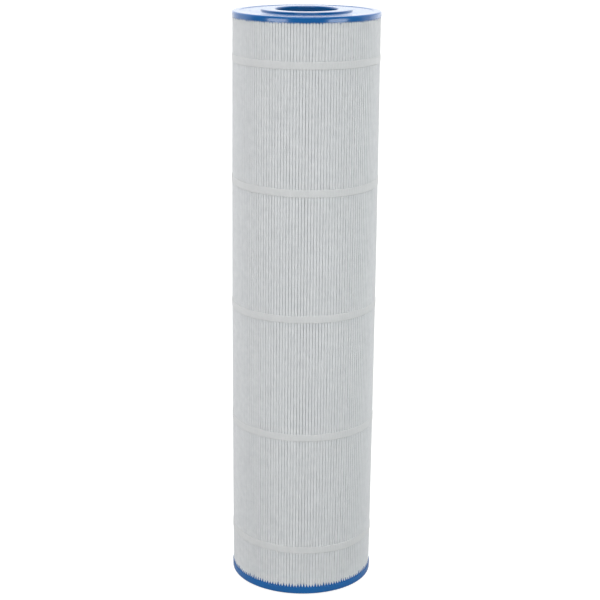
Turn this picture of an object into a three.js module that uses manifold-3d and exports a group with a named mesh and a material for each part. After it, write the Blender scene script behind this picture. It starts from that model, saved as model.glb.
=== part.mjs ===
// A pleated cartridge for a pool or spa filter, open at both ends.
//
// Units are millimetres. +Z runs up the cartridge's axis. The origin is the centre of the bottom cap's
// sealing collar, which is the face the cartridge stands on. Water enters through the pleats, passes the
// windows of the core and leaves through the bore, so every ring here is open in the middle. Nothing on it
// moves: the pleats, the core and the seam are all held in the two cast end caps, and the straps are bonded
// round the pleats.

import * as THREE from "three";
import { mergeVertices } from "three/addons/utils/BufferGeometryUtils.js";
import Module from "manifold-3d";

const wasm = await Module();
wasm.setup();

// Driving dimensions
const OVERALL_LENGTH = 737;
const CAP_RADIUS = 91;
const BORE_RADIUS = 38;
const PLEAT_COUNT = 152;
const CORE_SECTIONS = 5;

// The straps' heights, and how much higher each one sits at its right side and at its back than at its
// middle.
const STRAPS = [
  { height: 64, right: -0.9, back: 0.8 },
  { height: 216.5, right: -0.3, back: 0.5 },
  { height: 370, right: 0.7, back: 0.2 },
  { height: 529, right: -1, back: 2.4 },
  { height: 679, right: -0.2, back: 0.3 },
];

// The gap left between pieces that touch or are bonded
const CLEARANCE = 0.3;

// End caps. Both come from one mould: a rim round the outside, a ring sunk just below it with the mark of a
// mould pin in it, and a collar that seals against the housing round the bore. The bottom one was poured
// deeper.
const TOP_SIDE_HEIGHT = 6.2;
const BOTTOM_SIDE_HEIGHT = 8.8;
const COLLAR_RADIUS = 56;
const COLLAR_HEIGHT = 2;
const RIM_WIDTH = 9;
const RIM_DRAFT = 0.3;
const RING_DEPTH = 0.5;
const WEB_THICKNESS = 2.2;
const SKIRT_THICKNESS = 0.5;
const SLEEVE_THICKNESS = 1.7;
const EDGE_FILLET = 2;
const COLLAR_FILLET = 1;
const BORE_LIP = 2;
const PIN_MARK_RADIUS = 1.4;
const PIN_MARK_DEPTH = 1.1;
const PIN_MARK_PLACE = 68.6;
const PIN_MARK_FACETS = 12;
const CAP_FACETS = 60;
const FILLET_DIVISIONS = 1;

// Pleated fabric: one long folded sheet, whose two ends meet at the side seam.
const SHEET_THICKNESS = 0.6;
const TIP_RADIUS = CAP_RADIUS - SKIRT_THICKNESS - CLEARANCE;
const ROOT_RADIUS = 43.9;
const TIP_HALF_WIDTH = 1.3;
const VALLEY_HALF_WIDTH = 0.12;
const SEAM_ANGLE = Math.PI / 2;
const SEAM_BEAD_INNER = 60;
const SEAM_BEAD_OUTER = 86;
const SEAM_BEAD_GAP = 0.15;

// Straps round the pleat tips
const STRAP_WIDTH = 9.2;
const STRAP_THICKNESS = 0.3;
const STRAP_GAP = 0.2;
const STRAP_FACETS = PLEAT_COUNT / 2;
const STRAP_OVERLAP_FACETS = 4;

// Core: identical windowed tubes, each with a spigot on top that enters the socket of the next
const CORE_OUTER = 43.4;
const CORE_INNER = 40.4;
const SPIGOT_LENGTH = 6;
const SPIGOT_OUTER = 41.8;
const CORE_FACETS = 24;
const WINDOW_ROWS = 3;
const WINDOW_WIDTH = 10;
const WINDOW_BRIDGE = 7;
const CORE_END_BAND = 10;

// Sizes worked out from the driving dimensions
const POTTING_FLOOR = COLLAR_HEIGHT + RING_DEPTH + WEB_THICKNESS;
const PACK_START = POTTING_FLOOR + CLEARANCE;
const PACK_LENGTH = OVERALL_LENGTH - 2 * PACK_START;
const CORE_PITCH = (PACK_LENGTH - SPIGOT_LENGTH) / CORE_SECTIONS;

const fabric = new THREE.MeshStandardMaterial({ color: 0xdfe3e6, roughness: 0.95, metalness: 0 });
const strapFabric = new THREE.MeshStandardMaterial({ color: 0xeceff0, roughness: 0.85, metalness: 0 });
const blueUrethane = new THREE.MeshStandardMaterial({ color: 0x1166ad, roughness: 0.3, metalness: 0 });
const corePlastic = new THREE.MeshStandardMaterial({ color: 0xe6e8ea, roughness: 0.5, metalness: 0 });
const seamAdhesive = new THREE.MeshStandardMaterial({ color: 0xe9e2cf, roughness: 0.4, metalness: 0 });

const WELD_DISTANCE = 1e-3;

// A closed geometry as a manifold-3d solid.
function solidOf(geometry) {
  const bare = geometry.clone();
  bare.deleteAttribute("normal");
  bare.deleteAttribute("uv");
  const merged = mergeVertices(bare, WELD_DISTANCE);
  return new wasm.Manifold(
    new wasm.Mesh({
      numProp: 3,
      vertProperties: merged.getAttribute("position").array,
      triVerts: new Uint32Array(merged.getIndex().array),
    }),
  );
}

function geometryOf(solid) {
  const mesh = solid.getMesh();
  const geometry = new THREE.BufferGeometry();
  geometry.setAttribute("position", new THREE.BufferAttribute(mesh.vertProperties, mesh.numProp));
  geometry.setIndex(new THREE.BufferAttribute(mesh.triVerts, 1));
  geometry.computeVertexNormals();
  return geometry;
}

// Turns a closed outline of radius and height about the Z axis.
function turned(outline, facets) {
  const geometry = new THREE.LatheGeometry(outline, facets);
  return geometry.rotateX(Math.PI / 2);
}

// The point at a radius and an angle, moved sideways round the circle.
function polar(radius, angle, sideways = 0) {
  return new THREE.Vector2(
    radius * Math.cos(angle) - sideways * Math.sin(angle),
    radius * Math.sin(angle) + sideways * Math.cos(angle),
  );
}

function raised(outline, height) {
  return new THREE.ExtrudeGeometry(new THREE.Shape(outline), {
    depth: height,
    bevelEnabled: false,
  });
}

// An end cap with its sealing collar up at height 0 and its potting trough facing down.
function endCap(sideHeight) {
  const rimTop = -COLLAR_HEIGHT;
  const ringTop = rimTop - RING_DEPTH;
  const bottom = rimTop - sideHeight;
  const floor = -POTTING_FLOOR;
  const rimInner = CAP_RADIUS - RIM_WIDTH;
  const skirtInner = CAP_RADIUS - SKIRT_THICKNESS;
  const sleeveOuter = BORE_RADIUS + SLEEVE_THICKNESS;
  const quarter = Math.PI / 2;

  const outline = new THREE.Path();
  outline.moveTo(BORE_RADIUS, bottom);
  outline.lineTo(BORE_RADIUS, -BORE_LIP);
  outline.absarc(BORE_RADIUS + BORE_LIP, -BORE_LIP, BORE_LIP, 2 * quarter, quarter, true);
  outline.lineTo(COLLAR_RADIUS - COLLAR_FILLET, 0);
  outline.absarc(COLLAR_RADIUS - COLLAR_FILLET, -COLLAR_FILLET, COLLAR_FILLET, quarter, 0, true);
  outline.lineTo(COLLAR_RADIUS, ringTop);
  outline.lineTo(rimInner - RIM_DRAFT, ringTop);
  outline.lineTo(rimInner, rimTop);
  outline.lineTo(CAP_RADIUS - EDGE_FILLET, rimTop);
  outline.absarc(CAP_RADIUS - EDGE_FILLET, rimTop - EDGE_FILLET, EDGE_FILLET, quarter, 0, true);
  outline.lineTo(CAP_RADIUS, bottom);
  outline.lineTo(skirtInner, bottom);
  outline.lineTo(skirtInner, floor);
  outline.lineTo(sleeveOuter, floor);
  outline.lineTo(sleeveOuter, bottom);
  outline.closePath();

  const casting = solidOf(turned(outline.getPoints(FILLET_DIVISIONS).reverse(), CAP_FACETS));
  const pin = new THREE.CylinderGeometry(
    PIN_MARK_RADIUS,
    PIN_MARK_RADIUS,
    2 * PIN_MARK_DEPTH,
    PIN_MARK_FACETS,
  );
  pin.rotateX(quarter).translate(-PIN_MARK_PLACE, 0, ringTop);
  return geometryOf(casting.subtract(solidOf(pin)));
}

// The folded sheet. Its outline runs round the outer face from one cut end to the other, then back round the
// inner face.
function pleatedSheet() {
  const pitch = (2 * Math.PI) / PLEAT_COUNT;
  const valleyRadius = ROOT_RADIUS + SHEET_THICKNESS;
  const creaseRadius = TIP_RADIUS - SHEET_THICKNESS;
  const creaseHalfWidth = TIP_HALF_WIDTH - SHEET_THICKNESS;
  const rootHalfWidth = VALLEY_HALF_WIDTH + SHEET_THICKNESS;
  const outer = [];
  const inner = [];
  for (let pleat = 0; pleat < PLEAT_COUNT; pleat += 1) {
    const before = pleat * pitch;
    const middle = before + pitch / 2;
    const after = before + pitch;
    outer.push(
      polar(valleyRadius, before, VALLEY_HALF_WIDTH),
      polar(TIP_RADIUS, middle, -TIP_HALF_WIDTH),
      polar(TIP_RADIUS, middle, TIP_HALF_WIDTH),
      polar(valleyRadius, after, -VALLEY_HALF_WIDTH),
    );
    inner.push(
      polar(ROOT_RADIUS, before, rootHalfWidth),
      polar(creaseRadius, middle, -creaseHalfWidth),
      polar(creaseRadius, middle, creaseHalfWidth),
      polar(ROOT_RADIUS, after, -rootHalfWidth),
    );
  }
  return raised([...outer, ...inner.reverse()], PACK_LENGTH);
}

// The wedge of adhesive in the valley between the sheet's two end pleats.
function seamBead() {
  const valleyRadius = ROOT_RADIUS + SHEET_THICKNESS;
  const mouthHalfWidth = (Math.PI * TIP_RADIUS) / PLEAT_COUNT - TIP_HALF_WIDTH;
  const halfWidthAt = (radius) => {
    const share = (radius - valleyRadius) / (TIP_RADIUS - valleyRadius);
    return VALLEY_HALF_WIDTH + share * (mouthHalfWidth - VALLEY_HALF_WIDTH) - SEAM_BEAD_GAP;
  };
  const innerHalf = halfWidthAt(SEAM_BEAD_INNER);
  const outerHalf = halfWidthAt(SEAM_BEAD_OUTER);
  const outline = [
    polar(SEAM_BEAD_INNER, 0, -innerHalf),
    polar(SEAM_BEAD_OUTER, 0, -outerHalf),
    polar(SEAM_BEAD_OUTER, 0, outerHalf),
    polar(SEAM_BEAD_INNER, 0, innerHalf),
  ];
  return raised(outline, PACK_LENGTH);
}

// A strap is one strip of fabric round the pleat tips, with its middle at height 0. Its last stretch laps
// over its first, where it is bonded. It lies flat on the tips, but it runs a little uphill to the right
// and to the back.
function strap(right, back) {
  const innerRadius = TIP_RADIUS + STRAP_GAP;
  const outerRadius = innerRadius + STRAP_THICKNESS;
  const lapRadius = outerRadius + STRAP_THICKNESS;
  const facet = (2 * Math.PI) / STRAP_FACETS;
  const outline = [];
  const hole = [];
  for (let step = 0; step <= STRAP_OVERLAP_FACETS; step += 1) {
    outline.push(polar(lapRadius, step * facet));
  }
  for (let step = STRAP_OVERLAP_FACETS; step <= STRAP_FACETS; step += 1) {
    outline.push(polar(outerRadius, step * facet));
  }
  for (let step = 0; step < STRAP_FACETS; step += 1) {
    hole.push(polar(innerRadius, -step * facet));
  }
  const shape = new THREE.Shape(outline);
  shape.holes.push(new THREE.Path(hole));
  const band = new THREE.ExtrudeGeometry(shape, { depth: STRAP_WIDTH, bevelEnabled: false });
  const uphill = new THREE.Matrix4().makeShear(0, right / TIP_RADIUS, 0, back / TIP_RADIUS, 0, 0);
  return band.translate(0, 0, -STRAP_WIDTH / 2).rotateZ(SEAM_ANGLE).applyMatrix4(uphill);
}

// One length of core, standing on its socket end. A column of windows runs up every second facet, between
// the bands that stiffen its two ends.
function coreSection() {
  const socketInner = SPIGOT_OUTER + CLEARANCE;
  const shoulder = CORE_PITCH - CLEARANCE;
  const spigotTop = CORE_PITCH + SPIGOT_LENGTH;
  const socketDepth = SPIGOT_LENGTH + CLEARANCE;
  const outline = [
    new THREE.Vector2(socketInner, 0),
    new THREE.Vector2(CORE_OUTER, 0),
    new THREE.Vector2(CORE_OUTER, shoulder),
    new THREE.Vector2(SPIGOT_OUTER, shoulder),
    new THREE.Vector2(SPIGOT_OUTER, spigotTop),
    new THREE.Vector2(CORE_INNER, spigotTop),
    new THREE.Vector2(CORE_INNER, socketDepth),
    new THREE.Vector2(socketInner, socketDepth),
    new THREE.Vector2(socketInner, 0),
  ];
  let tube = solidOf(turned(outline, CORE_FACETS));

  const windowed = CORE_PITCH - 2 * CORE_END_BAND;
  const windowHeight = (windowed - (WINDOW_ROWS - 1) * WINDOW_BRIDGE) / WINDOW_ROWS;
  const wall = (CORE_INNER + CORE_OUTER) / 2;
  const reach = 2 * (CORE_OUTER - CORE_INNER);
  const facet = (2 * Math.PI) / CORE_FACETS;
  for (let row = 0; row < WINDOW_ROWS; row += 1) {
    const height = CORE_END_BAND + windowHeight / 2 + row * (windowHeight + WINDOW_BRIDGE);
    for (let column = 0; column < CORE_FACETS; column += 2) {
      const opening = new THREE.BoxGeometry(reach, WINDOW_WIDTH, windowHeight);
      opening.translate(wall, 0, height).rotateZ((column + 0.5) * facet);
      tube = tube.subtract(solidOf(opening));
    }
  }
  return geometryOf(tube);
}

function piece(name, geometry, material, height) {
  const mesh = new THREE.Mesh(geometry, material);
  mesh.name = name;
  mesh.position.z = height;
  return mesh;
}

const cartridge = new THREE.Group();

cartridge.add(piece("top_end_cap", endCap(TOP_SIDE_HEIGHT), blueUrethane, OVERALL_LENGTH));
const bottomCap = piece("bottom_end_cap", endCap(BOTTOM_SIDE_HEIGHT), blueUrethane, 0);
bottomCap.rotation.x = Math.PI;
cartridge.add(bottomCap);

const pleatPack = new THREE.Group();
pleatPack.rotation.z = SEAM_ANGLE;
pleatPack.add(piece("pleated_media", pleatedSheet(), fabric, PACK_START));
pleatPack.add(piece("side_seam_bead", seamBead(), seamAdhesive, PACK_START));
cartridge.add(pleatPack);

const sectionGeometry = coreSection();
for (let section = 0; section < CORE_SECTIONS; section += 1) {
  const height = PACK_START + section * CORE_PITCH;
  cartridge.add(piece(`core_section_${section + 1}`, sectionGeometry, corePlastic, height));
}

STRAPS.forEach(({ height, right, back }, index) => {
  cartridge.add(piece(`strap_${index + 1}`, strap(right, back), strapFabric, height));
});

export default cartridge;
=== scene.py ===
"""Looks for a pleated pool filter cartridge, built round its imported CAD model.

Everything is in metres, in the CAD's frame: +Z runs up the axis from the plane the cartridge stands on, -Y is
the front and +Y is the side with the seam. Every piece rides on the one body, "root", because nothing on it
moves.
"""
import math

import bmesh
import bpy
import numpy as np
from mathutils import Matrix, Vector


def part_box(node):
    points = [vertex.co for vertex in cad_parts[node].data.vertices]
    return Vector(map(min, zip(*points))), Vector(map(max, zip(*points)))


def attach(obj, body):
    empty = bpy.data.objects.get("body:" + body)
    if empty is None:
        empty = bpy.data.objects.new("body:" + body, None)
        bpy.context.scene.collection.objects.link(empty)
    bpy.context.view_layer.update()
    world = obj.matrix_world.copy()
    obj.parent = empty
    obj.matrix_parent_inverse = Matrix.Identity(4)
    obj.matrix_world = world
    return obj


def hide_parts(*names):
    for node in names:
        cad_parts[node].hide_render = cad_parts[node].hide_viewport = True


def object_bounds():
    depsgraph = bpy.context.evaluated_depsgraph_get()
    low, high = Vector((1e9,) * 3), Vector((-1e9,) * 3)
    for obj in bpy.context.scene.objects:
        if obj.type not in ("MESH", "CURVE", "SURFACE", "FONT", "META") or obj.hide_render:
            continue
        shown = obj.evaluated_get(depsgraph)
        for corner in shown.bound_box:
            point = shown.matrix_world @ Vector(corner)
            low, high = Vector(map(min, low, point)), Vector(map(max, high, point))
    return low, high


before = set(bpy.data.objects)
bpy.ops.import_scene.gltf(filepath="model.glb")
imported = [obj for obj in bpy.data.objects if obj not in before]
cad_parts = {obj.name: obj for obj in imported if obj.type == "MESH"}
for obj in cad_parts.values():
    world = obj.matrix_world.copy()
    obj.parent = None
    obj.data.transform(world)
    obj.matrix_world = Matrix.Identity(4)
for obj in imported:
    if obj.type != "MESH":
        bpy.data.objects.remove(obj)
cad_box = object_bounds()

MM = 0.001
TURN = 2 * math.pi
SEED = 7
# Edges bent by more than this are real edges, and are shaded sharp
SHARP_ANGLE = math.radians(38)

# Sizes and names that the frame gives
TOP = cad_box[1].z
CAP_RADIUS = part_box("top_end_cap")[1].x
MEDIA_LOW, MEDIA_HIGH = (corner.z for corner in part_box("pleated_media"))
STRAP_NAMES = sorted(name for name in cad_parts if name.startswith("strap_"))
CORE_NAMES = sorted(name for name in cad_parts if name.startswith("core_section_"))

# The seam's place round the axis, and the gap between pieces that fit together
SEAM_ANGLE = TURN / 4
FIT_GAP = 0.3 * MM

# End caps. The edges are the radii of their roundings.
BORE_RADIUS = 38 * MM
COLLAR_RADIUS = 56 * MM
COLLAR_HEIGHT = 2 * MM
RING_DEPTH = 0.5 * MM
RIM_WIDTH = 9 * MM
RIM_DRAFT = 0.3 * MM
TROUGH_FLOOR = 4.7 * MM
SKIRT_THICKNESS = 0.5 * MM
SLEEVE_THICKNESS = 1.7 * MM
PIN_MARK_RADIUS = 1.4 * MM
PIN_MARK_DEPTH = 1.1 * MM
PIN_MARK_PLACE = 68.6 * MM
RIM_EDGE = 2 * MM
BORE_EDGE = 2 * MM
COLLAR_EDGE = 1.6 * MM
COLLAR_FOOT = 0.6 * MM
RING_STEP_EDGE = 0.2 * MM
LOWER_EDGE = 0.25 * MM
CAP_SEGMENTS = 240

# The urethane in each trough, and the teeth in which it has crept up the valleys between pleats. A bias above
# 1 makes tall teeth rarer.
TOOTH_STEPS = 8
TOOTH_CURVE = 0.9
LEAST_TOOTH = 0.55
TOOTH_BIAS = 1.4
BOTTOM_CLIMB = 6.5 * MM
TOP_CLIMB = 3 * MM
FILL_GAP = 0.01 * MM

# Pleats. Each one leans as a whole, and drifts and sinks differently along its height.
PLEATS = 152
PITCH = TURN / PLEATS
MEDIA_LEVELS = 28
SHEET = 0.6 * MM
TIP_RADIUS = CAP_RADIUS - SKIRT_THICKNESS - FIT_GAP
ROOT_RADIUS = 43.9 * MM
CREST_HALF = 1.46 * MM
CREST_DEPTH = 0.68 * MM
CREST_ROUNDNESS = 0.62
CREST_POINTS = 8
ROOT_BEND = 0.42 * MM
PLEAT_BOW = 1.0 * MM
PLEAT_LEAN = 0.015 * MM
PLEAT_DRIFT = 0.018 * MM
PLEAT_SINK = 0.07 * MM
DRIFT_AT_STRAP = 0.6
LEAST_FATNESS = 0.975
SEAM_FATNESS = 0.82
SEAM_GAP = 0.3 * MM
BEAD_LEVELS = 90

# Straps. The rises, from the bottom strap up, are how much higher a strap sits at its right side and at its
# back than at its middle.
STRAP_WIDTH = 9.2 * MM
STRAP_THICKNESS = 0.3 * MM
STRAP_GAP = 0.2 * MM
STRAP_RISES = [
    (-0.9 * MM, 0.8 * MM),
    (-0.3 * MM, 0.5 * MM),
    (0.7 * MM, 0.2 * MM),
    (-1.0 * MM, 2.4 * MM),
    (-0.2 * MM, 0.3 * MM),
]
STRAP_BEVEL = 0.3 * MM
STRAP_FLAT_FROM = 0.8 * MM
STRAP_SAG = 0.22 * MM
STRAP_WAVER = 0.14 * MM
STRAP_KNOTS = 25
LAP_ANGLE = math.radians(19)
LAP_CLIMB_ANGLE = math.radians(3)
LAP_GAP = 0.02 * MM
SAG_AT_LAP = 0.4

# Core
CORE_OUTER = 43.4 * MM
CORE_INNER = 40.4 * MM
SPIGOT_OUTER = 41.8 * MM
SPIGOT_LENGTH = 6 * MM
CORE_COLUMNS = 12
WINDOW_ROWS = 3
WINDOW_WIDTH = 10 * MM
WINDOW_BRIDGE = 7 * MM
WINDOW_CORNER = 1.8 * MM
# A window's corner has points at its arc's middle, which is this share of the radius in from both sides, and
# where this share of the radius has been passed along either side
ARC_MIDDLE = 1 - math.sqrt(0.5)
CORNER_SHARE = 0.45
SIDE_STEPS = 6
CORE_END_BAND = 10 * MM
CORE_EDGE = 0.3 * MM
CORE_EDGE_ANGLE = math.radians(50)
WALL_STEP = 0.04 * MM
# How finely the wall's points are told apart, in steps to the radian and to the metre
ANGLE_STEPS = 1e4
HEIGHT_STEPS = 1e7

# Share of the light that passes through the fabric
FABRIC_GLOW = 0.35

# Colours, as linear red, green, blue and alpha
PLEAT_LIGHT = (0.83, 0.845, 0.855, 1)
PLEAT_SHADE = (0.74, 0.76, 0.775, 1)
STRAP_LIGHT = (0.77, 0.78, 0.785, 1)
STRAP_SHADE = (0.72, 0.735, 0.74, 1)
URETHANE_LIGHT = (0.0014, 0.099, 0.315, 1)
URETHANE_SHADE = (0.0010, 0.086, 0.285, 1)
URETHANE_STAIN = (0.10, 0.30, 0.62, 1)
CORE_LIGHT = (0.76, 0.78, 0.80, 1)
CORE_SHADE = (0.66, 0.69, 0.71, 1)
ADHESIVE_LIGHT = (0.82, 0.78, 0.68, 1)
ADHESIVE_SHADE = (0.70, 0.64, 0.50, 1)
FLOOR_LIGHT = (0.27, 0.27, 0.27, 1)
FLOOR_SHADE = (0.24, 0.24, 0.24, 1)

# Studio. The glow and the surroundings are stronger behind the cartridge than in front of it.
FLOOR_REACH = 15
FLOOR_SEEN = 0.9
FLOOR_BEHIND = 1.2
WORLD_IN_FRONT = 0.12
WORLD_BEHIND = 1.6
# Each softbox's name, azimuth in degrees, distance, height, size, power and colour
SOFTBOXES = [
    ("left_softbox", -45, 1.7, 0.3, (0.95, 0.66), 13.4, (1, 1, 1)),
    ("right_softbox", 48, 1.7, 0.3, (0.90, 0.66), 12.4, (0.97, 1.0, 0.995)),
    ("top_softbox", 0, 1.5, 3.3, (2.8, 2.8), 80, (1, 1, 1)),
    ("rim_light", 130, 1.7, 0.6, (1.1, 0.5), 1.5, (1, 1, 1)),
]

# Camera. The lens is in millimetres.
CAMERA_PLACE = (0, -1.8666, 0.8944)
CAMERA_LENS = 90.945
CAMERA_SENSOR = 36
CAMERA_SHIFT = 0.0445
CAMERA_HEADING = math.radians(1.194)
CAMERA_PITCH = math.radians(15.710)
CAMERA_ROLL = math.radians(0.258)


# Materials

class Nodes:
    """The nodes of one material or world, added and joined by name."""

    def __init__(self, owner):
        owner.use_nodes = True
        self.owner = owner
        self.tree = owner.node_tree

    def __getitem__(self, label):
        return self.tree.nodes[label]

    def add(self, kind, inputs=None, **settings):
        node = self.tree.nodes.new("ShaderNode" + kind)
        for key, value in settings.items():
            setattr(node, key, value)
        self.set(node, inputs or {})
        return node

    def set(self, node, inputs):
        for key, value in inputs.items():
            if isinstance(value, bpy.types.NodeSocket):
                self.tree.links.new(value, node.inputs[key])
            else:
                node.inputs[key].default_value = value

    def place(self, scale=(1, 1, 1)):
        """The point's place in the row frame, stretched along the axes."""
        where = self.add("TexCoord").outputs["Object"]
        return self.add("Mapping", {"Vector": where, "Scale": scale}).outputs["Vector"]

    def noise(self, scale, stretch=(1, 1, 1), detail=2.0):
        """Noise from 0 to 1, with so many lumps to the metre."""
        settings = {"Vector": self.place(stretch), "Scale": scale, "Detail": detail}
        return self.add("TexNoise", settings).outputs["Fac"]

    def remap(self, value, low, high, to_low=0.0, to_high=1.0):
        """The value moved from one range to another, and held at its ends."""
        settings = {"Value": value, "From Min": low, "From Max": high, "To Min": to_low, "To Max": to_high}
        return self.add("MapRange", settings).outputs["Result"]

    def math(self, operation, first, second):
        return self.add("Math", {0: first, 1: second}, operation=operation).outputs[0]

    def mix(self, share, first, second):
        """One colour at share 0 and the other at share 1."""
        node = self.add("Mix", data_type="RGBA")
        self.set(node, {0: share, 6: first, 7: second})
        return node.outputs[2]

    def bump(self, height, depth, strength=1.0, normal=None):
        inputs = {"Height": height, "Distance": depth, "Strength": strength}
        if normal is not None:
            inputs["Normal"] = normal
        return self.add("Bump", inputs).outputs["Normal"]


def new_material(name):
    return Nodes(bpy.data.materials.new(name))


def fibres(nodes, scale):
    """A web of fine crossing threads, 1 on a thread and 0 between threads."""
    wobble = nodes.add("TexNoise", {"Vector": nodes.place(), "Scale": scale * 0.4, "Detail": 2.0})
    spread = nodes.add("VectorMath", {0: wobble.outputs["Color"], 1: (0.5, 0.5, 0.5)}, operation="SUBTRACT")
    bent = nodes.add("VectorMath", {0: spread.outputs[0], "Scale": 1.4 / scale}, operation="SCALE")
    moved = nodes.add("VectorMath", {0: nodes.place(), 1: bent.outputs[0]}, operation="ADD")
    layers = []
    for size in (scale, 0.57 * scale):
        placed = {"Vector": moved.outputs[0], "Scale": size}
        cells = nodes.add("TexVoronoi", placed, feature="DISTANCE_TO_EDGE")
        layers.append(nodes.remap(cells.outputs["Distance"], 0.0, 0.12, 1.0, 0.0))
    return nodes.math("MAXIMUM", *layers)


def spunbond(name, light, shade, gloss, fibre_depth, stained):
    """Pressed polyester fibre sheet. Near the caps the urethane has soaked into a stained one."""
    nodes = new_material(name)
    web = fibres(nodes, 1500)
    cloud = nodes.noise(140, detail=4.0)
    broad = nodes.noise(16, stretch=(1, 1, 0.3))
    colour = nodes.mix(nodes.remap(cloud, 0.3, 0.7), shade, light)
    colour = nodes.mix(nodes.remap(broad, 0.3, 0.7, 0.0, 0.35), colour, shade)
    colour = nodes.mix(nodes.math("MULTIPLY", web, 0.25), colour, light)
    if stained:
        colour = stain(nodes, colour)
    nodes.set(nodes["Principled BSDF"], {
        "Base Color": colour,
        "Roughness": nodes.remap(web, 0.0, 1.0, gloss + 0.15, gloss),
        "Specular IOR Level": 0.35,
        "Sheen Weight": 0.4,
        "Normal": nodes.bump(web, fibre_depth, 0.5, nodes.bump(cloud, 3 * fibre_depth, 0.35)),
    })
    glow = nodes.add("BsdfTranslucent", {"Color": colour})
    surface = nodes["Principled BSDF"].outputs[0]
    both = nodes.add("MixShader", {0: FABRIC_GLOW, 1: surface, 2: glow.outputs[0]})
    nodes.set(nodes["Material Output"], {"Surface": both.outputs[0]})
    return nodes.owner


def stain(nodes, colour):
    """Blue that has wicked into the fabric from the edge of each cap, to an uneven height."""
    height = nodes.add("SeparateXYZ", {"Vector": nodes.place()}).outputs["Z"]
    wick = nodes.remap(nodes.noise(700, detail=3.0), 0.3, 0.7, 0.2 * MM, 2.2 * MM)
    for edge, inward in ((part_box("bottom_end_cap")[1].z, 1), (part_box("top_end_cap")[0].z, -1)):
        away = nodes.math("MULTIPLY", nodes.math("SUBTRACT", height, edge), inward)
        soaked = nodes.math("SUBTRACT", wick, away)
        colour = nodes.mix(nodes.remap(soaked, 0.0, 0.8 * MM, 0.0, 0.75), colour, URETHANE_STAIN)
    return colour


def cast_urethane():
    """Glossy blue elastomer from an open mould, with slow ripples and a few fine pits."""
    nodes = new_material("cast_urethane")
    drift = nodes.noise(22, detail=3.0)
    fine = nodes.noise(1800, detail=3.0)
    ripple = nodes.noise(55, detail=1.0)
    pits = nodes.add("TexVoronoi", {"Vector": nodes.place(), "Scale": 260}).outputs["Distance"]
    pit = nodes.remap(pits, 0.05, 0.12)
    colour = nodes.mix(nodes.remap(drift, 0.3, 0.7), URETHANE_SHADE, URETHANE_LIGHT)
    normal = nodes.bump(ripple, 0.10 * MM, 0.5)
    normal = nodes.bump(fine, 0.004 * MM, 0.25, normal)
    normal = nodes.bump(pit, 0.05 * MM, 0.2, normal)
    nodes.set(nodes["Principled BSDF"], {
        "Base Color": colour,
        "Roughness": nodes.remap(fine, 0.3, 0.7, 0.15, 0.20),
        "Specular IOR Level": 0.5,
        "Normal": normal,
    })
    return nodes.owner


def core_polypropylene():
    """Moulded polypropylene: milky, satin, with flow marks along the axis."""
    nodes = new_material("core_polypropylene")
    flow = nodes.noise(60, stretch=(1, 1, 0.15), detail=3.0)
    grain = nodes.noise(2600, detail=2.0)
    colour = nodes.mix(nodes.remap(flow, 0.3, 0.7), CORE_SHADE, CORE_LIGHT)
    nodes.set(nodes["Principled BSDF"], {
        "Base Color": colour,
        "Roughness": nodes.remap(grain, 0.3, 0.7, 0.38, 0.5),
        "Subsurface Weight": 0.15,
        "Subsurface Scale": 2 * MM,
        "Normal": nodes.bump(grain, 0.03 * MM, 0.4, nodes.bump(flow, 0.2 * MM, 0.3)),
    })
    return nodes.owner


def hot_melt():
    """Cream hot-melt adhesive, clouded and slightly wet-looking."""
    nodes = new_material("hot_melt")
    cloud = nodes.noise(300, stretch=(1, 1, 0.3), detail=3.0)
    colour = nodes.mix(nodes.remap(cloud, 0.3, 0.7), ADHESIVE_SHADE, ADHESIVE_LIGHT)
    nodes.set(nodes["Principled BSDF"], {
        "Base Color": colour,
        "Roughness": nodes.remap(cloud, 0.3, 0.7, 0.22, 0.38),
        "Subsurface Weight": 0.3,
        "Subsurface Scale": 1 * MM,
        "Normal": nodes.bump(cloud, 0.3 * MM, 0.5),
    })
    return nodes.owner


# Meshes

def add_piece(name, points, faces, material, stands_for):
    """Makes a closed mesh into a piece of the cartridge, smooth except at its real edges."""
    mesh = bpy.data.meshes.new(name)
    mesh.from_pydata(np.asarray(points).reshape(-1, 3).tolist(), [], faces)
    solid = bmesh.new()
    solid.from_mesh(mesh)
    bmesh.ops.recalc_face_normals(solid, faces=solid.faces)
    solid.to_mesh(mesh)
    solid.free()
    mesh.materials.append(material)
    mesh.shade_smooth()
    mesh.set_sharp_from_angle(angle=SHARP_ANGLE)
    piece = bpy.data.objects.new(name, mesh)
    bpy.context.scene.collection.objects.link(piece)
    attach(piece, "root")
    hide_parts(*stands_for)
    return piece


def wrapped_faces(rows, columns, close_rows):
    """Quads between points laid out in rows, each row a closed loop."""
    row, column = np.meshgrid(np.arange(rows if close_rows else rows - 1), np.arange(columns), indexing="ij")
    next_row = (row + 1) % rows
    next_column = (column + 1) % columns
    corners = (
        row * columns + column,
        row * columns + next_column,
        next_row * columns + next_column,
        next_row * columns + column,
    )
    return np.stack(corners, axis=-1).reshape(-1, 4).tolist()


def ring_faces(loops):
    """Faces of a closed ring, from its cross-sections in order round the axis."""
    return wrapped_faces(loops.shape[0], loops.shape[1], True)


def strip_faces(loops):
    """Faces of a long solid, from its cross-sections in order.

    Each cross-section is a strip's front points, then its back points in the opposite order.
    """
    count, around = loops.shape[:2]
    faces = wrapped_faces(count, around, False)
    last = (count - 1) * around
    for start in (0, last):
        for k in range(around // 2 - 1):
            corners = (k, k + 1, around - 2 - k, around - 1 - k)
            faces.append([start + corner for corner in corners])
    return faces


def about_axis(radius, angle, height, sideways=0.0):
    """Points at a radius, angle and height, moved sideways round the axis. Arrays may be given."""
    radius, angle, height, sideways = np.broadcast_arrays(radius, angle, height, sideways)
    x = radius * np.cos(angle) - sideways * np.sin(angle)
    y = radius * np.sin(angle) + sideways * np.cos(angle)
    return np.stack((x, y, height), axis=-1)


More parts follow.
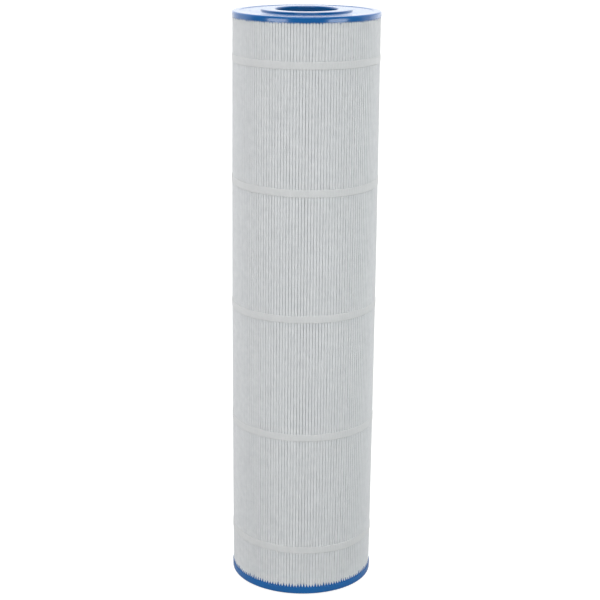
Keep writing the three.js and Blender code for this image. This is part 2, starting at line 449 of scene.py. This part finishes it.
def arc(centre, radius, start, end, steps):
    """Points on a bend of an outline. Angles are in degrees."""
    angles = np.radians(np.linspace(start, end, steps + 1))
    return [(centre[0] + radius * math.cos(a), centre[1] + radius * math.sin(a)) for a in angles]


def smooth(share):
    """A share from 0 to 1, held at its ends, that starts and stops gently."""
    share = np.clip(share, 0, 1)
    return share * share * (3 - 2 * share)


def eased(values, places, knots):
    """Values given at knots, read at other places, flat at each knot and smooth between them."""
    spot = np.clip(np.searchsorted(knots, places, side="right") - 1, 0, len(knots) - 2)
    share = smooth((places - knots[spot]) / (knots[spot + 1] - knots[spot]))
    return values[..., spot] * (1 - share) + values[..., spot + 1] * share


# End caps

def cap_outline(depth):
    """The cap's cross-section as radius and height, with its collar up at height 0."""
    rim = -COLLAR_HEIGHT
    ring = rim - RING_DEPTH
    rim_inner = CAP_RADIUS - RIM_WIDTH
    skirt_inner = CAP_RADIUS - SKIRT_THICKNESS
    sleeve = BORE_RADIUS + SLEEVE_THICKNESS
    foot = COLLAR_FOOT
    step = RING_STEP_EDGE
    low = LOWER_EDGE - depth
    return [
        *arc((BORE_RADIUS + LOWER_EDGE, low), LOWER_EDGE, 270, 180, 2),
        *arc((BORE_RADIUS + BORE_EDGE, -BORE_EDGE), BORE_EDGE, 180, 90, 7),
        *arc((COLLAR_RADIUS - COLLAR_EDGE, -COLLAR_EDGE), COLLAR_EDGE, 90, 0, 5),
        *arc((COLLAR_RADIUS + foot, ring + foot), foot, 180, 270, 4),
        *arc((rim_inner - RIM_DRAFT - step, ring + step), step, 270, 320, 3),
        *arc((rim_inner + step, rim - step), step, 140, 90, 3),
        *arc((CAP_RADIUS - RIM_EDGE, rim - RIM_EDGE), RIM_EDGE, 90, 0, 9),
        *arc((CAP_RADIUS - LOWER_EDGE, low), LOWER_EDGE, 0, -90, 3),
        *arc((skirt_inner + LOWER_EDGE, low), LOWER_EDGE, 270, 180, 2),
        (skirt_inner, -TROUGH_FLOOR),
        (sleeve, -TROUGH_FLOOR),
        *arc((sleeve - LOWER_EDGE, low), LOWER_EDGE, 0, -90, 2),
    ]


def cap_depth(name):
    """How far a cap reaches in from its collar."""
    low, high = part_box(name)
    return high.z - low.z


def add_cap(name, collar_height, up, material):
    """An end cap whose collar is at a height, facing up for 1 and down for -1."""
    outline = np.array(cap_outline(cap_depth(name)))
    angles = np.linspace(0, TURN, CAP_SEGMENTS, endpoint=False)[:, None]
    loops = about_axis(outline[:, 0], angles, collar_height + up * outline[:, 1])
    cap = add_piece(name, loops, ring_faces(loops), material, [name])
    press_pin_mark(cap, collar_height - up * (COLLAR_HEIGHT + RING_DEPTH))


def press_pin_mark(cap, ring_height):
    """Cuts the mark that the mould's pin leaves in the sunk ring, as a small rounded pocket."""
    pin = bmesh.new()
    bmesh.ops.create_uvsphere(pin, u_segments=24, v_segments=16, radius=1.0)
    pin.transform(Matrix.Diagonal((PIN_MARK_RADIUS, PIN_MARK_RADIUS, PIN_MARK_DEPTH, 1)))
    pin.transform(Matrix.Translation((-PIN_MARK_PLACE, 0, ring_height)))
    mesh = bpy.data.meshes.new("pin")
    pin.to_mesh(mesh)
    pin.free()
    cutter = bpy.data.objects.new("pin", mesh)
    bpy.context.scene.collection.objects.link(cutter)
    cut = cap.modifiers.new("pin_mark", "BOOLEAN")
    cut.operation = "DIFFERENCE"
    cut.object = cutter
    cut.solver = "EXACT"
    apply_modifiers(cap)
    cap.data.set_sharp_from_angle(angle=SHARP_ANGLE)
    bpy.data.objects.remove(cutter)


def apply_modifiers(piece):
    bpy.context.view_layer.update()
    seen = bpy.context.evaluated_depsgraph_get()
    final = bpy.data.meshes.new_from_object(piece.evaluated_get(seen))
    piece.modifiers.clear()
    piece.data = final


def add_potting(name, cap_name, collar_height, up, climb, material, rng):
    """The urethane that fills a cap's trough, with an uneven tooth in each valley between two pleats."""
    steps = PLEATS * TOOTH_STEPS
    angles = SEAM_ANGLE + np.arange(steps) * TURN / steps
    half = TOOTH_STEPS / 2
    offset = (np.arange(steps) + half) % TOOTH_STEPS - half
    tooth_shape = np.clip(1 - np.abs(offset) / half, 0, 1) ** TOOTH_CURVE
    heights = climb * (LEAST_TOOTH + (1 - LEAST_TOOTH) * rng.random(PLEATS) ** TOOTH_BIAS)
    nearest = np.round(np.arange(steps) / TOOTH_STEPS).astype(int) % PLEATS
    teeth = heights[nearest] * tooth_shape

    level = -cap_depth(cap_name) + 0.15 * MM
    skirt_inner = CAP_RADIUS - SKIRT_THICKNESS - FILL_GAP
    sleeve = BORE_RADIUS + SLEEVE_THICKNESS + FILL_GAP
    # Radius, height of the still surface, and the share of each tooth that stands there
    surface = [
        (skirt_inner, level, 0.0),
        (TIP_RADIUS + 0.12 * MM, level - 0.1 * MM, 0.85),
        (TIP_RADIUS - 0.1 * MM, level - 0.15 * MM, 0.95),
        (TIP_RADIUS - 0.45 * MM, level - 0.15 * MM, 1.0),
        (TIP_RADIUS - 2.5 * MM, level - 0.1 * MM, 0.95),
        (TIP_RADIUS - 6 * MM, level, 0.5),
        (TIP_RADIUS - 14 * MM, level, 0.15),
        (sleeve + 6 * MM, level, 0.0),
        (sleeve, level + 0.1 * MM, 0.0),
    ]
    floor = -TROUGH_FLOOR - FILL_GAP
    rows = [(skirt_inner, np.full(steps, floor))]
    for radius, still, share in surface:
        rows.append((radius, still - share * teeth))
    rows.append((sleeve, np.full(steps, floor)))
    loops = np.stack(
        [about_axis(radius, angles, collar_height + up * height) for radius, height in rows],
        axis=1,
    )
    add_piece(name, loops, ring_faces(loops), material, [])


# Pleats

def strap_height(name):
    low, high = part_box(name)
    return (low.z + high.z) / 2


def bow(height):
    """How far the pleats stand out at a height, as the pack swells a little between the caps."""
    share = np.clip((height - MEDIA_LOW) / (MEDIA_HIGH - MEDIA_LOW), 0, 1)
    return PLEAT_BOW * np.sin(math.pi * share)


def drift_knots():
    """Heights that each pleat wanders between, and how freely: the ends, each strap and between straps."""
    straps = [strap_height(name) for name in STRAP_NAMES]
    halves = [(low + high) / 2 for low, high in zip(straps, straps[1:])]
    knots = sorted([MEDIA_LOW, *straps, *halves, MEDIA_HIGH])
    held = np.array([DRIFT_AT_STRAP if knot in straps else 1.0 for knot in knots])
    return np.array(knots), held


def add_media(material, rng):
    """One folded sheet, closed round the axis by its two end walls at the seam. No two pleats stand alike."""
    levels = np.linspace(MEDIA_LOW, MEDIA_HIGH, MEDIA_LEVELS)
    knots, held = drift_knots()
    lean = eased(rng.normal(0, PLEAT_DRIFT, (PLEATS, len(knots))) * held, levels, knots)
    lean += rng.normal(0, PLEAT_LEAN, (PLEATS, 1))
    lean[0] += SEAM_GAP
    lean[-1] -= SEAM_GAP
    sink = eased(rng.uniform(0, PLEAT_SINK, (PLEATS, len(knots))), levels, knots)
    fatness = rng.uniform(LEAST_FATNESS, 1.0, (PLEATS, 1))
    fatness[[0, -1]] = SEAM_FATNESS

    crest_turn = np.radians(np.linspace(-90, 90, CREST_POINTS))
    across = np.sign(crest_turn) * np.abs(np.sin(crest_turn)) ** CREST_ROUNDNESS
    outward = np.abs(np.cos(crest_turn)) ** CREST_ROUNDNESS
    root_turn = np.radians(np.array([-90, 0, 90]))
    # At the seam the sheet has no root bend, only the bend's end on its own side
    seam_end = {0: [2], PLEATS: [0]}
    skins = []
    for side in (0.5, -0.5):
        rows = []
        for k in range(PLEATS + 1):
            bends = root_turn[seam_end.get(k, [0, 1, 2])]
            reach = ROOT_BEND - side * SHEET
            radius = ROOT_RADIUS + SHEET / 2 + ROOT_BEND - reach * np.cos(bends)
            row = about_axis(radius, SEAM_ANGLE + k * PITCH, levels[:, None], reach * np.sin(bends))
            rows.append(row)
            if k == PLEATS:
                break
            base = TIP_RADIUS + bow(levels)[:, None] - SHEET / 2 - CREST_DEPTH - sink[k][:, None]
            radius = base + (CREST_DEPTH + side * SHEET) * outward
            sideways = lean[k][:, None] + (CREST_HALF * fatness[k] + side * SHEET) * across
            rows.append(about_axis(radius, SEAM_ANGLE + (k + 0.5) * PITCH, levels[:, None], sideways))
        skins.append(np.concatenate(rows, axis=1))
    loops = np.concatenate((skins[0], skins[1][:, ::-1]), axis=1)
    add_piece("pleated_media", loops, strip_faces(loops), material, ["pleated_media"])


def add_seam_bead(material, rng):
    """Adhesive squeezed into the valley between the sheet's two end walls."""
    low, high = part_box("side_seam_bead")
    inner, outer = low.y, high.y
    levels = np.linspace(low.z, high.z, BEAD_LEVELS)
    fill = rng.uniform(0.7, 1.0, BEAD_LEVELS)
    fill = np.convolve(np.pad(fill, 2, mode="edge"), np.ones(5) / 5, mode="valid")
    half_inner = 0.1 * MM
    half_outer = 0.5 * MM
    loops = []
    for level, share in zip(levels, fill):
        reach = inner + (outer - inner) * (0.9 + 0.1 * share)
        half = half_outer * share
        crown = [(inner, half_inner), (reach - 0.5 * MM, half), (reach, half * 0.5)]
        sides = [(x, radius) for radius, x in crown] + [(-x, radius) for radius, x in reversed(crown)]
        loops.append([(x, radius, level) for x, radius in sides])
    loops = np.array(loops)
    add_piece("side_seam_bead", loops, strip_faces(loops), material, ["side_seam_bead"])


# Straps

def add_strap(name, rises, material, rng):
    """A strip of fabric round the tips, sagging a little between them. Its end laps over its start."""
    middle = strap_height(name)
    to_right, to_back = rises
    step = PITCH / 4
    travel = np.arange(0, TURN + LAP_ANGLE + step / 2, step)
    sag = STRAP_SAG * np.cos(travel * PLEATS / 2) ** 2
    climb = smooth((travel - TURN) / LAP_CLIMB_ANGLE + 1) * (STRAP_THICKNESS + LAP_GAP)
    inner = TIP_RADIUS + bow(middle) + STRAP_GAP
    radius = inner + climb - np.where(climb > 0, SAG_AT_LAP, 1.0) * sag
    knots = np.linspace(0, travel[-1], STRAP_KNOTS)
    waver = [eased(rng.normal(0, STRAP_WAVER, len(knots)), travel, knots) for _ in range(2)]

    half = STRAP_WIDTH / 2
    places = [half, half - STRAP_BEVEL, half - STRAP_FLAT_FROM]
    depths = [0.35 * STRAP_THICKNESS, STRAP_THICKNESS, STRAP_THICKNESS]
    # Depth through the strip and place across it, up the outer face and down the inner one
    section = [(depth, -place) for depth, place in zip(depths, places)]
    section += [(depth, place) for depth, place in zip(reversed(depths), reversed(places))]
    section += [(0.0, place) for place in places]
    section += [(0.0, -place) for place in reversed(places)]
    angles = SEAM_ANGLE + travel
    uphill = to_right * np.cos(angles) + to_back * np.sin(angles)
    columns = []
    for depth, across in section:
        edge = np.where(across > 0, waver[1], waver[0]) * abs(across) / half
        columns.append(about_axis(radius + depth, angles, middle + uphill + across + edge))
    loops = np.stack(columns, axis=1)
    add_piece(name, loops, strip_faces(loops), material, [name])


# Core

def side_points(low, high, corner):
    """Places along one side of a window or of its cell, closer together round a window's corners."""
    if corner == 0:
        return np.linspace(low, high, SIDE_STEPS + 1)[:-1]
    near_low = [low + ARC_MIDDLE * corner, low + CORNER_SHARE * corner, low + corner]
    return np.array([*near_low, (low + high) / 2, high - corner, high - CORNER_SHARE * corner])


def add_core_section(name, material):
    """A windowed tube. It is drawn flat as angle and height, then given an inner and an outer skin."""
    low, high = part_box(name)
    base = low.z
    length = high.z - base - SPIGOT_LENGTH
    shoulder = length - FIT_GAP
    socket = SPIGOT_LENGTH + FIT_GAP
    points, faces = flat_core(length, shoulder, socket)
    flat = np.array(points)
    outer = np.where(flat[:, 1] > shoulder + WALL_STEP / 2, SPIGOT_OUTER, CORE_OUTER)
    inner = np.where(flat[:, 1] < socket - WALL_STEP / 2, SPIGOT_OUTER + FIT_GAP, CORE_INNER)
    count = len(points)
    skins = np.concatenate((
        about_axis(outer, flat[:, 0], base + flat[:, 1]),
        about_axis(inner, flat[:, 0], base + flat[:, 1]),
    ))
    edges = {}
    for face in faces:
        for a, b in zip(face, face[1:] + face[:1]):
            edges[(a, b)] = edges.get((a, b), 0) + 1
    borders = [(a, b) for a, b in edges if (b, a) not in edges]
    every = list(faces)
    every += [[count + corner for corner in reversed(face)] for face in faces]
    every += [[b, a, a + count, b + count] for a, b in borders]
    piece = add_piece(name, skins, every, material, [name])
    soften = piece.modifiers.new("soften", "BEVEL")
    soften.width = CORE_EDGE
    soften.segments = 2
    soften.limit_method = "ANGLE"
    soften.angle_limit = CORE_EDGE_ANGLE


def flat_core(length, shoulder, socket):
    """Points (angle, height) and quads of the tube's wall, with its windows left open."""
    points = []
    faces = []
    known = {}

    def point(angle, height):
        """The number of the point at this place. Faces that meet there share it."""
        angle = angle % TURN
        key = (round(angle * ANGLE_STEPS) % round(TURN * ANGLE_STEPS), round(height * HEIGHT_STEPS))
        if key not in known:
            known[key] = len(points)
            points.append((angle, height))
        return known[key]

    cell_angle = TURN / CORE_COLUMNS
    window_angle = WINDOW_WIDTH / CORE_OUTER
    band = CORE_END_BAND
    row_height = (length - 2 * band + WINDOW_BRIDGE) / WINDOW_ROWS
    first_row = band - WINDOW_BRIDGE / 2
    middles = [(column + 0.25) * cell_angle for column in range(CORE_COLUMNS)]
    for middle in middles:
        for row in range(WINDOW_ROWS):
            bottom = first_row + row * row_height
            cell = frame_loop(middle, cell_angle, bottom, bottom + row_height, 0, 0)
            window = frame_loop(
                middle,
                window_angle,
                bottom + WINDOW_BRIDGE / 2,
                bottom + row_height - WINDOW_BRIDGE / 2,
                WINDOW_CORNER / CORE_OUTER,
                WINDOW_CORNER,
            )
            for k in range(len(cell)):
                after = (k + 1) % len(cell)
                corners = (cell[k], cell[after], window[after], window[k])
                faces.append([point(*place) for place in corners])
    # The solid bands at both ends, with a pair of close heights at each step in the wall
    last_row = first_row + WINDOW_ROWS * row_height
    below = [0, socket - WALL_STEP, socket, first_row]
    above = [last_row, shoulder, shoulder + WALL_STEP, length + SPIGOT_LENGTH]
    for middle in middles:
        right = middle + cell_angle / 2
        angles = np.append(side_points(middle - cell_angle / 2, right, 0), right)
        for heights in (below, above):
            for z0, z1 in zip(heights, heights[1:]):
                for a0, a1 in zip(angles, angles[1:]):
                    faces.append([point(a0, z0), point(a1, z0), point(a1, z1), point(a0, z1)])
    return points, faces


def frame_loop(middle, wide, bottom, top, corner_angle, corner):
    """A rectangle, with rounded corners if they have a size, as places in order round it."""
    left, right = middle - wide / 2, middle + wide / 2
    across = side_points(left, right, corner_angle)
    upward = side_points(bottom, top, corner)
    bow_a = edge_bow(corner_angle)
    bow_z = edge_bow(corner)
    loop = [(a, bottom + d) for a, d in zip(across, bow_z)]
    loop += [(right - d, z) for z, d in zip(upward, bow_a)]
    loop += [(left + right - a, top - d) for a, d in zip(across, bow_z)]
    loop += [(left + d, bottom + top - z) for z, d in zip(upward, bow_a)]
    return loop


def edge_bow(corner):
    """How far each place of side_points stands in from the side, where it rounds into a corner."""
    part = corner * (1 - math.sqrt(1 - (1 - CORNER_SHARE) ** 2))
    return [ARC_MIDDLE * corner, part, 0, 0, 0, part]


# Studio

def add_floor():
    """A wide pale floor that reads as white. Behind the cartridge it glows, as a light table does."""
    nodes = new_material("studio_floor")
    grain = nodes.noise(30, detail=3.0)
    backward = nodes.add("SeparateXYZ", {"Vector": nodes.place()}).outputs["Y"]
    lit = nodes.remap(backward, -0.2, 0.8, 0.0, FLOOR_BEHIND)
    seen = nodes.add("LightPath").outputs["Is Camera Ray"]
    glow = nodes.remap(seen, 0.0, 1.0, lit, FLOOR_SEEN)
    nodes.set(nodes["Principled BSDF"], {
        "Base Color": nodes.mix(grain, FLOOR_SHADE, FLOOR_LIGHT),
        "Roughness": 0.9,
        "Specular IOR Level": 0.1,
        "Emission Color": (1, 1, 1, 1),
        "Emission Strength": glow,
    })
    mesh = bpy.data.meshes.new("studio_floor")
    corners = [(x * FLOOR_REACH, y * FLOOR_REACH, 0) for x, y in ((-1, -1), (1, -1), (1, 1), (-1, 1))]
    mesh.from_pydata(corners, [], [(0, 1, 2, 3)])
    mesh.materials.append(nodes.owner)
    floor = bpy.data.objects.new("studio_floor", mesh)
    bpy.context.scene.collection.objects.link(floor)
    floor.location.z = -0.2 * MM


def add_softbox(name, azimuth, distance, height, size, power, colour):
    """A soft panel light, turned to the cartridge's middle. Azimuth is 0 in front and grows to the right."""
    data = bpy.data.lights.new(name, "AREA")
    data.shape = "RECTANGLE"
    data.size, data.size_y = size
    data.energy = power
    data.color = colour
    light = bpy.data.objects.new(name, data)
    bpy.context.scene.collection.objects.link(light)
    turn = math.radians(azimuth)
    light.location = (distance * math.sin(turn), -distance * math.cos(turn), height)
    aim = Vector((0, 0, TOP / 2)) - light.location
    light.rotation_euler = aim.to_track_quat("-Z", "Y").to_euler()


def add_world():
    """White surroundings. They light the cartridge from behind and the sides, and little from in front."""
    world = bpy.data.worlds.new("studio")
    bpy.context.scene.world = world
    nodes = Nodes(world)
    direction = nodes.add("TexCoord").outputs["Generated"]
    backward = nodes.add("SeparateXYZ", {"Vector": direction}).outputs["Y"]
    light = nodes.remap(backward, -0.35, 0.4, WORLD_IN_FRONT, WORLD_BEHIND)
    seen = nodes.add("LightPath").outputs["Is Camera Ray"]
    strength = nodes.remap(seen, 0.0, 1.0, light, 1.0)
    nodes.set(nodes["Background"], {"Color": (1, 1, 1, 1), "Strength": strength})


def add_camera():
    """A long lens in front, a little above the top cap, looking down and leaning slightly."""
    data = bpy.data.cameras.new("camera")
    data.lens = CAMERA_LENS
    data.sensor_width = CAMERA_SENSOR
    data.shift_x = CAMERA_SHIFT
    camera = bpy.data.objects.new("camera", data)
    bpy.context.scene.collection.objects.link(camera)
    heading = Matrix.Rotation(CAMERA_HEADING, 4, "Z")
    tilt = Matrix.Rotation(TURN / 4 - CAMERA_PITCH, 4, "X")
    roll = Matrix.Rotation(CAMERA_ROLL, 4, "Z")
    camera.matrix_world = Matrix.Translation(CAMERA_PLACE) @ heading @ tilt @ roll
    bpy.context.scene.camera = camera


rng = np.random.default_rng(SEED)
urethane = cast_urethane()
pleat_fabric = spunbond("pleat_polyester", PLEAT_LIGHT, PLEAT_SHADE, 0.72, 0.05 * MM, True)
strap_fabric = spunbond("strap_polyester", STRAP_LIGHT, STRAP_SHADE, 0.5, 0.03 * MM, False)
core_plastic = core_polypropylene()

add_cap("bottom_end_cap", 0.0, -1, urethane)
add_cap("top_end_cap", TOP, 1, urethane)
add_potting("bottom_potting", "bottom_end_cap", 0.0, -1, BOTTOM_CLIMB, urethane, rng)
add_potting("top_potting", "top_end_cap", TOP, 1, TOP_CLIMB, urethane, rng)
add_media(pleat_fabric, rng)
add_seam_bead(hot_melt(), rng)
for strap_name, strap_rises in zip(STRAP_NAMES, STRAP_RISES):
    add_strap(strap_name, strap_rises, strap_fabric, rng)
for section_name in CORE_NAMES:
    add_core_section(section_name, core_plastic)

add_floor()
add_world()
for softbox in SOFTBOXES:
    add_softbox(*softbox)
add_camera()
bpy.context.scene.view_settings.view_transform = "Standard"
